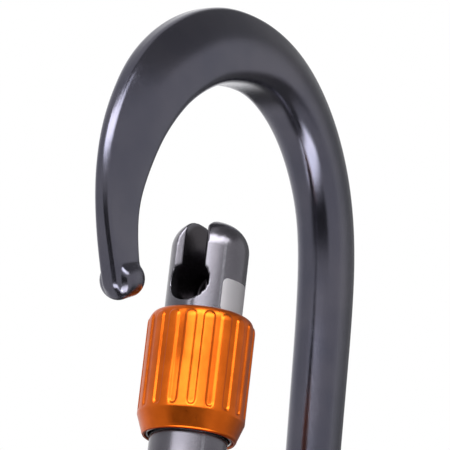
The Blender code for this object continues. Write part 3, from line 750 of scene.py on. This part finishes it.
def make_frame(material):
    line = Centreline()
    rings = nose_rings(line)
    start = line.nose_end + CATCH_REACH
    count = round((line.knots[-1] - start) / PATH_STEP)
    for i in range(1, count + 1):
        distance = start + (line.knots[-1] - start) * i / count
        where = line.walked(distance)
        out, _ = line.directions(distance)
        sizes = line.section(distance)
        ring = []
        for u, v in bar_outline(*sizes):
            ring.append(where + out * (u - sizes[0] / 2) + Vector((0.0, v, 0.0)))
        rings.append(ring)
    bm = bmesh.new()
    skin(bm, rings)
    bar = mesh_from(bm, "frame_bar")

    half = line.section(line.knots[-1])[1] / 2
    width = half - TONGUE_WIDTH / 2 + OVERRUN
    bm = bmesh.new()
    for side in (-1, 1):
        middle = Vector((0.0, side * (TONGUE_WIDTH + width) / 2, 0.0))
        cylinder(bm, SHOULDER_RADIUS, width, HINGE + middle, (0, 1, 0), segments=96)
    clearance = mesh_from(bm, "fork_clearance")

    bm = bmesh.new()
    cylinder(bm, PIN_RADIUS + GAP, 4 * half, HINGE, (0, 1, 0))
    length = KEEPER_HOLE_DEPTH + OVERRUN
    for side in (-1, 1):
        middle = Vector((0.0, side * (half - KEEPER_HOLE_DEPTH + length / 2), 0.0))
        cylinder(bm, WIRE_RADIUS + GAP, length, KEEPER_PIVOT + middle, (0, 1, 0), segments=40)
    bores = mesh_from(bm, "frame_bores")
    steps = [("DIFFERENCE", clearance), ("UNION", tongue_mesh()), ("DIFFERENCE", bores)]
    mesh = shaped("frame_forging", bar, steps)
    finish_piece("frame_forging", mesh, material, "body", ["frame"])


# ---------------------------------------------------------------- gate


def gate_outline():
    flat = BARREL_RADIUS - TIP_ROUND
    outline = [(0.0, TIP_HEIGHT)]
    outline += arc_points((flat, TIP_HEIGHT - TIP_ROUND), (TIP_ROUND, TIP_ROUND), 90.0, 0.0, 24)
    outline += [(BARREL_RADIUS, -BARREL_RADIUS), (0.0, -BARREL_RADIUS)]
    return outline


def gate_trim():
    bm = bmesh.new()
    reach = 2 * BARREL_RADIUS
    outline = arc_points((0.0, 0.0), (BARREL_RADIUS, BARREL_RADIUS), 180.0, 360.0, 48)
    outline += [(reach, 0.0), (reach, TIP_HEIGHT + OVERRUN), (-reach, TIP_HEIGHT + OVERRUN), (-reach, 0.0)]
    skin(bm, [[(u, y, v) for u, v in outline] for y in (-reach, reach)])
    return mesh_from(bm, "gate_trim")


def keyhole():
    bm = bmesh.new()
    front = -2 * BARREL_RADIUS
    middle = ((front + CAVITY_BACK) / 2, 0.0, CATCH_HEIGHT)
    cylinder(bm, CAVITY_RADIUS, CAVITY_BACK - front, middle, (1, 0, 0), segments=96)
    return mesh_from(bm, "keyhole")


def nose_slot():
    bm = bmesh.new()
    half = SLOT_WIDTH / 2
    front = -2 * BARREL_RADIUS
    surface = sqrt(BARREL_RADIUS**2 - (half + SLOT_CHAMFER) ** 2)
    chamfer_start = SLOT_CHAMFER - surface
    flare = chamfer_start - front
    deepening = (SLOT_TIP_BACK - CAVITY_BACK) / (TIP_HEIGHT - CATCH_HEIGHT)
    rings = []
    for z in (CATCH_HEIGHT, TIP_HEIGHT + OVERRUN):
        back = CAVITY_BACK + deepening * (z - CATCH_HEIGHT)
        outline = [(back, -half), (chamfer_start, -half), (front, -half - flare)]
        outline += [(u, -v) for u, v in reversed(outline)]
        rings.append([(u, v, z) for u, v in outline])
    skin(bm, rings)
    return mesh_from(bm, "nose_slot")


def thread_groove():
    bm = bmesh.new()
    per_turn = 48
    inner = BARREL_RADIUS - THREAD_DEPTH
    outer = BARREL_RADIUS + THREAD_DEPTH
    rings = []
    for i in range(round(per_turn * THREAD_TURNS) + 1):
        angle = 2 * pi * (i + 0.5) / per_turn
        z = THREAD_BOTTOM + THREAD_PITCH * i / per_turn
        corners = [
            (inner, z - THREAD_WIDTH / 4),
            (outer, z - THREAD_WIDTH * 3 / 4),
            (outer, z + THREAD_WIDTH * 3 / 4),
            (inner, z + THREAD_WIDTH / 4),
        ]
        rings.append([(r * cos(angle), r * sin(angle), height) for r, height in corners])
    skin(bm, rings)
    return mesh_from(bm, "thread_groove")


def fork_and_bores():
    """The fork's slot, and the rivet's hole with its counterbores."""
    reach = 2 * BARREL_RADIUS
    bm = bmesh.new()
    box(bm, (-reach, -FORK_WIDTH / 2, -reach), (reach, FORK_WIDTH / 2, FORK_TOP))
    fork = mesh_from(bm, "fork_slot")
    bm = bmesh.new()
    cylinder(bm, PIN_RADIUS + GAP, 2 * reach, (0, 0, 0), (0, 1, 0))
    hole = mesh_from(bm, "pin_hole")
    bm = bmesh.new()
    for side in (-1, 1):
        middle = (0, side * (PIN_HEAD_START - GAP + OVERRUN), 0)
        cylinder(bm, PIN_HEAD_RADIUS + GAP, 2 * OVERRUN, middle, (0, 1, 0))
    seats = mesh_from(bm, "head_seats")
    bm = bmesh.new()
    length = BORE_TOP - FORK_TOP + OVERRUN
    cylinder(bm, BORE_RADIUS, length, (0, 0, BORE_TOP - length / 2), (0, 0, 1), segments=48)
    return [fork, hole, seats, mesh_from(bm, "spring_bore")]


def trued(mesh):
    """Puts what the remesh left near the barrel's skin or the keyhole's wall exactly on it."""
    count = len(mesh.vertices)
    points = np.empty(count * 3)
    mesh.vertices.foreach_get("co", points)
    points = points.reshape(-1, 3)
    close = TRUED_WHOLLY * GATE_VOXEL
    far = TRUED_PARTLY * GATE_VOXEL
    tiny = 1e-12  # keeps a point on the axis from dividing by nothing
    for first, second, radius, centre, keep in (
        (0, 1, BARREL_RADIUS, 0.0, points[:, 2] < TIP_HEIGHT - TIP_ROUND),
        (1, 2, CAVITY_RADIUS, CATCH_HEIGHT, points[:, 0] < CAVITY_BACK - GATE_VOXEL),
    ):
        a, b = points[:, first], points[:, second] - centre
        reach = np.hypot(a, b) + tiny
        share = 1.0 - eased((np.abs(reach - radius) - close) / (far - close))
        scale = 1.0 + share * keep * (radius / reach - 1.0)
        points[:, first] = a * scale
        points[:, second] = b * scale + centre
    mesh.vertices.foreach_set("co", points.reshape(-1))
    mesh.update()


def make_gate(material):
    steps = [("INTERSECT", gate_trim())]
    for cutter in (keyhole(), nose_slot(), *fork_and_bores(), thread_groove()):
        steps.append(("DIFFERENCE", cutter))
    steps.append(("REMESH", {"mode": "VOXEL", "voxel_size": GATE_VOXEL}))
    steps.append(("SMOOTH", {"factor": 0.5, "iterations": GATE_SMOOTHING}))
    mesh = shaped("gate_barrel", lathe("gate_barrel", gate_outline(), steps=128), steps)
    trued(mesh)
    finish_piece("gate_barrel", mesh, material, "gate", ["gate"], GATE_FRAME, sharp=180.0)


def make_pin(material):
    centre = (PIN_HEAD_RADIUS - PIN_HEAD_DOME, PIN_HALF_LENGTH - PIN_HEAD_DOME)
    half = [(0.0, PIN_HALF_LENGTH)]
    half += arc_points(centre, (PIN_HEAD_DOME, PIN_HEAD_DOME), 90.0, 0.0, 6)
    half += [(PIN_HEAD_RADIUS, PIN_HEAD_START), (PIN_RADIUS, PIN_HEAD_START)]
    outline = half + [(radius, -height) for radius, height in reversed(half)]
    mesh = lathe("hinge_rivet", outline, steps=64)
    place = GATE_FRAME @ Matrix.Rotation(pi / 2, 4, "X")
    finish_piece("hinge_rivet", mesh, material, "gate", ["hinge_pin"], place)


def make_rod(material):
    tip = TONGUE_RADIUS + CAM_RISE + ROD_GAP
    head_top = ROD_HEAD_BOTTOM + ROD_HEAD_LENGTH
    flat = ROD_HEAD_RADIUS - ROD_HEAD_EDGE
    outline = [(0.0, head_top), (flat, head_top), (ROD_HEAD_RADIUS, head_top - ROD_HEAD_EDGE)]
    outline += [(ROD_HEAD_RADIUS, ROD_HEAD_BOTTOM + ROD_HEAD_EDGE), (flat, ROD_HEAD_BOTTOM)]
    outline += [(ROD_RADIUS, ROD_HEAD_BOTTOM)]
    outline += arc_points((0.0, tip + ROD_RADIUS), (ROD_RADIUS, ROD_RADIUS), 0.0, -90.0, 10)
    mesh = lathe("plunger", outline, steps=48)
    finish_piece("plunger", mesh, material, "rod", ["push_rod"], GATE_FRAME)


def wire(name, points, radius):
    """A round wire along points, as a mesh with closed ends."""
    curve = bpy.data.curves.new(name, "CURVE")
    curve.dimensions = "3D"
    curve.bevel_depth = radius
    curve.bevel_resolution = 6
    curve.use_fill_caps = True
    line = curve.splines.new("POLY")
    line.points.add(len(points) - 1)
    for point, where in zip(line.points, points):
        point.co = (*where, 1.0)
    return shaped(name, curve, [])


def make_spring(material):
    bottom = ROD_HEAD_BOTTOM + ROD_HEAD_LENGTH + GAP + SPRING_WIRE / 2
    top = BORE_TOP - GAP - SPRING_WIRE / 2
    radius = SPRING_OUTER - SPRING_WIRE / 2
    per_turn = 32
    count = SPRING_COILS * per_turn
    points = []
    for i in range(count + 1):
        angle = 2 * pi * i / per_turn
        points.append((radius * cos(angle), radius * sin(angle), bottom + (top - bottom) * i / count))
    mesh = wire("gate_spring", points, SPRING_WIRE / 2)
    finish_piece("gate_spring", mesh, material, "gate", ["closing_spring"], GATE_FRAME)


# ---------------------------------------------------------------- screw sleeve


def sleeve_outline():
    """Outside of the sleeve from its lower lip up to its top rim, as (radius, height)."""
    lip = SLEEVE_LIP_ROUND
    outline = arc_points((SLEEVE_LIP - lip, SLEEVE_BOTTOM + lip), (lip, lip), -90.0, 0.0, 6)
    band_top = SLEEVE_BOTTOM + SLEEVE_BAND
    radius, height = outline[-1]
    for i in range(1, BAND_ROWS):
        share = i / BAND_ROWS
        outline.append((radius + (SLEEVE_RADIUS - radius) * share, height + (band_top - height) * share))
    shoulder = SLEEVE_TOP - SLEEVE_SHOULDER
    for i in range(PAD_ROWS):
        outline.append((SLEEVE_RADIUS, band_top + (shoulder - band_top) * i / PAD_ROWS))
    centre = (SLEEVE_RADIUS - SHOULDER_WIDTH, shoulder)
    outline += arc_points(centre, (SHOULDER_WIDTH, SLEEVE_SHOULDER), 0.0, 90.0, SHOULDER_ROWS)
    return outline


def sleeve_inside():
    """Top edge, bore and ring seat, from the top rim down to the lower lip."""
    edge = SLEEVE_TOP_EDGE
    seat = RING_OUTER + GAP
    seat_top = SLEEVE_BOTTOM + RING_INSET + RING_HEIGHT + 2 * GAP
    outline = arc_points((SLEEVE_BORE + edge, SLEEVE_TOP - edge), (edge, edge), 90.0, 180.0, 5)
    outline += [(SLEEVE_BORE, seat_top + SEAT_RISE), (SLEEVE_BORE + SEAT_CHAMFER, seat_top)]
    outline += [(seat, seat_top), (seat, SLEEVE_BOTTOM + MOUTH_CHAMFER)]
    outline += [(seat + MOUTH_CHAMFER, SLEEVE_BOTTOM)]
    return outline


def groove_share(angle, height):
    """1 down in the grooves and above the pads' rounded tops, 0 on the pads and the band."""
    pitch = 2 * pi * SLEEVE_RADIUS / PADS
    half_pad = (pitch - GROOVE_WIDTH) / 2
    across = np.abs((angle / (2 * pi) * PADS + 0.5) % 1.0 - 0.5) * pitch
    top = SLEEVE_TOP - PAD_TOP - half_pad
    over = np.maximum(height - top, 0.0)
    beyond_pad = np.hypot(across, over) - half_pad
    groove = eased(beyond_pad / PAD_EDGE + 0.5)
    floor = SLEEVE_BOTTOM + SLEEVE_BAND + GROOVE_RUN_OUT + GROOVE_WIDTH / 2
    from_middle = np.abs(pitch / 2 - across)
    below = np.maximum(floor - height, 0.0)
    beyond_end = np.hypot(from_middle, below) - GROOVE_WIDTH / 2
    ended = eased(beyond_end / PAD_EDGE + 0.5) * (height < floor)
    return groove * (1.0 - ended)


def make_sleeve(material):
    steps = PADS * PAD_COLUMNS
    angles = 2 * pi * np.arange(steps) / steps
    rings = []
    for radius, height in sleeve_outline():
        depth = PAD_RISE * groove_share(angles, np.full(steps, height))
        fade = float(eased((SLEEVE_TOP - height) / SLEEVE_SHOULDER))
        reach = radius - depth * fade
        rings.append([(r * cos(a), r * sin(a), height) for r, a in zip(reach, angles)])
    for radius, height in sleeve_inside():
        rings.append([(radius * cos(a), radius * sin(a), height) for a in angles])
    bm = bmesh.new()
    skin(bm, rings, wrap=True)
    mesh = mesh_from(bm, "knurled_sleeve")
    finish_piece(
        "knurled_sleeve",
        mesh,
        material,
        "sleeve",
        ["screw_sleeve"],
        GATE_FRAME,
        sharp=50.0,
    )


def make_ring(material):
    bottom = SLEEVE_BOTTOM + RING_INSET
    top = bottom + RING_HEIGHT
    edge = RING_EDGE
    section = [(RING_INNER, bottom + edge), (RING_INNER + edge, bottom), (RING_OUTER - edge, bottom)]
    section += [(RING_OUTER, bottom + edge), (RING_OUTER, top - edge), (RING_OUTER - edge, top)]
    section += [(RING_INNER + edge, top), (RING_INNER, top - edge)]
    split = RING_SPLIT / (2 * RING_OUTER)
    steps = 120
    rings = []
    for i in range(steps + 1):
        angle = split + (2 * pi - 2 * split) * i / steps
        rings.append([(r * cos(angle), r * sin(angle), height) for r, height in section])
    bm = bmesh.new()
    skin(bm, rings)
    mesh = mesh_from(bm, "split_ring")
    finish_piece("split_ring", mesh, material, "ring", ["sleeve_ring"], GATE_FRAME)


# ---------------------------------------------------------------- keeper


def make_keeper(material):
    low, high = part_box("keeper_wire")
    rest = Vector((high[0] - WIRE_RADIUS, 0.0, high[2] - WIRE_RADIUS))
    along = (rest - KEEPER_PIVOT).normalized()
    reach = (rest - KEEPER_PIVOT).length
    outside = high[1] - WIRE_RADIUS
    inside = -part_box("frame")[0][1] - KEEPER_HOLE_DEPTH + GAP
    half_end = KEEPER_END_WIDTH / 2

    def corner(centre, start, end):
        return arc_points(centre, (KEEPER_BEND, KEEPER_BEND), start, end, 12)

    half = [(0.0, inside)]
    half += corner((KEEPER_BEND, outside - KEEPER_BEND), 180.0, 90.0)
    half.append((reach * KEEPER_WAIST[0], KEEPER_WAIST[1]))
    half += corner((reach - KEEPER_BEND, half_end - KEEPER_BEND), 90.0, 0.0)
    outline = half + [(u, -v) for u, v in reversed(half)]
    points = [KEEPER_PIVOT + along * u + Vector((0.0, v, 0.0)) for u, v in outline]
    mesh = wire("keeper_loop", points, WIRE_RADIUS)
    finish_piece("keeper_loop", mesh, material, "keeper", ["keeper_wire"])


# ---------------------------------------------------------------- studio


def make_camera():
    """Looks from the nose side, from a little below the carabiner's middle."""
    azimuth = radians(CAMERA_AZIMUTH)
    elevation = radians(CAMERA_ELEVATION)
    roll = radians(CAMERA_ROLL)
    back = Vector((sin(azimuth) * cos(elevation), -cos(azimuth) * cos(elevation), sin(elevation)))
    level = Vector((cos(azimuth), sin(azimuth), 0.0))
    upright = back.cross(level)
    right = level * cos(roll) + upright * sin(roll)
    up = upright * cos(roll) - level * sin(roll)
    data = bpy.data.cameras.new("camera")
    data.sensor_width = CAMERA_SENSOR
    data.lens = CAMERA_SENSOR * CAMERA_DISTANCE / CAMERA_VIEW
    data.clip_start = 0.01
    camera = new_object("camera", data)
    place = Matrix.Translation(Vector(CAMERA_TARGET) + back * CAMERA_DISTANCE)
    camera.matrix_world = place @ Matrix((right, up, back)).transposed().to_4x4()
    bpy.context.scene.camera = camera


def make_floor():
    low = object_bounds()[0]
    bm = bmesh.new()
    bmesh.ops.create_grid(bm, x_segments=1, y_segments=1, size=FLOOR_SIZE)
    floor = new_object("floor", mesh_from(bm, "floor"))
    floor.location = (0.0, 0.0, low[2] - FLOOR_DROP)
    made = Shader("floor_paper", (0.86, 0.86, 0.86), 0.0, 0.9)
    grain = made.noise(1.2 * MM)
    made.colour(made.mix(made.spread(grain, 0.3, 0.7, 0.0, 1.0), (0.84, 0.84, 0.84), (0.88, 0.88, 0.88)))
    floor.data.materials.append(made.material)
    floor.visible_glossy = False


# Soft boxes, cards and the dark of the room, as seen from the carabiner. Each is azimuth and elevation
# of its middle, half its width and height, how soft its rim is, all in degrees, and how bright it is.
# A later one covers those before it.
SURROUNDINGS = [
    (60.0, 5.0, 48.0, 45.0, 12.0, 1.1),  # the white backdrop
    (-4.0, 5.0, 18.0, 45.0, 6.0, 0.30),  # the gap beside it, on the camera's right
    (-60.0, 50.0, 55.0, 22.0, 8.0, 0.22),  # the dark high up on the camera's right
    (0.0, -55.0, 55.0, 38.0, 12.0, 0.15),  # the dark low down, on the camera's right and behind
    (0.0, -90.0, 200.0, 24.0, 6.0, 0.15),  # the dark straight below
    (-158.0, -8.0, 40.0, 15.0, 5.0, 0.03),  # the dark behind the camera
    (-150.0, -50.0, 52.0, 15.0, 4.0, 8.0),  # the low card
    (-158.0, 44.0, 42.0, 15.0, 3.0, 10.0),  # the long soft box
    (-108.0, 38.0, 18.0, 10.0, 2.0, 10.0),  # its end on the camera's right, lower and narrower
    (-92.0, 34.0, 12.0, 6.0, 2.0, 8.0),  # the tip of that end
]
SURROUNDING_LEVEL = 0.85  # brightness where there is none of them


def make_world():
    world = bpy.data.worlds.new("studio")
    world.use_nodes = True
    bpy.context.scene.world = world
    made = Nodes(world.node_tree)
    direction = made.node("ShaderNodeTexCoord").outputs["Generated"]
    parts = made.node("ShaderNodeSeparateXYZ", Vector=direction).outputs
    azimuth = made.math("MULTIPLY", made.math("ARCTAN2", parts["Y"], parts["X"]), 180.0 / pi)
    elevation = made.math("MULTIPLY", made.math("ARCSINE", parts["Z"]), 180.0 / pi)
    level = SURROUNDING_LEVEL
    for turn, height, half_width, half_height, rim, brightness in SURROUNDINGS:
        wrap = made.node("ShaderNodeMath", {"operation": "WRAP"})
        for index, value in enumerate((made.math("SUBTRACT", azimuth, turn), 180.0, -180.0)):
            made.feed(wrap, str(index), value)
        across = made.math("ABSOLUTE", wrap.outputs[0])
        above = made.math("ABSOLUTE", made.math("SUBTRACT", elevation, height))
        inside = made.math(
            "MULTIPLY",
            made.spread(across, half_width - rim, half_width + rim, 1.0, 0.0, "SMOOTHSTEP"),
            made.spread(above, half_height - rim, half_height + rim, 1.0, 0.0, "SMOOTHSTEP"),
        )
        blend = made.node("ShaderNodeMix", {"data_type": "FLOAT"})
        for index, value in ((0, inside), (2, level), (3, brightness)):
            made.feed(blend, str(index), value)
        level = blend.outputs[0]
    shade = world.node_tree.nodes["Background"]
    shade.inputs["Color"].default_value = (0.98, 0.98, 1.0, 1.0)
    made.tree.links.new(level, shade.inputs["Strength"])
    seen = made.node("ShaderNodeBackground", Color=(1.0, 1.0, 1.0, 1.0))
    camera_ray = made.node("ShaderNodeLightPath").outputs["Is Camera Ray"]
    mix = made.node("ShaderNodeMixShader")
    for index, value in enumerate((camera_ray, shade.outputs[0], seen.outputs[0])):
        made.feed(mix, str(index), value)
    made.tree.links.new(mix.outputs[0], world.node_tree.nodes["World Output"].inputs["Surface"])


def main():
    bpy.context.scene.view_settings.view_transform = "Standard"
    make_camera()
    make_world()
    make_floor()
    bright = drawn_steel("bright_steel", (0.62, 0.61, 0.60), 0.20, 0.3 * MM, (1.0, 1.0, 1.0))
    sprung = drawn_steel("spring_steel", (0.46, 0.46, 0.47), 0.26, 0.15 * MM, (12.0, 1.0, 12.0))
    make_frame(anodised_forging())
    make_gate(satin_barrel())
    make_pin(bright)
    make_rod(bright)
    make_spring(sprung)
    make_sleeve(orange_sleeve())
    make_ring(bright)
    make_keeper(sprung)


main()
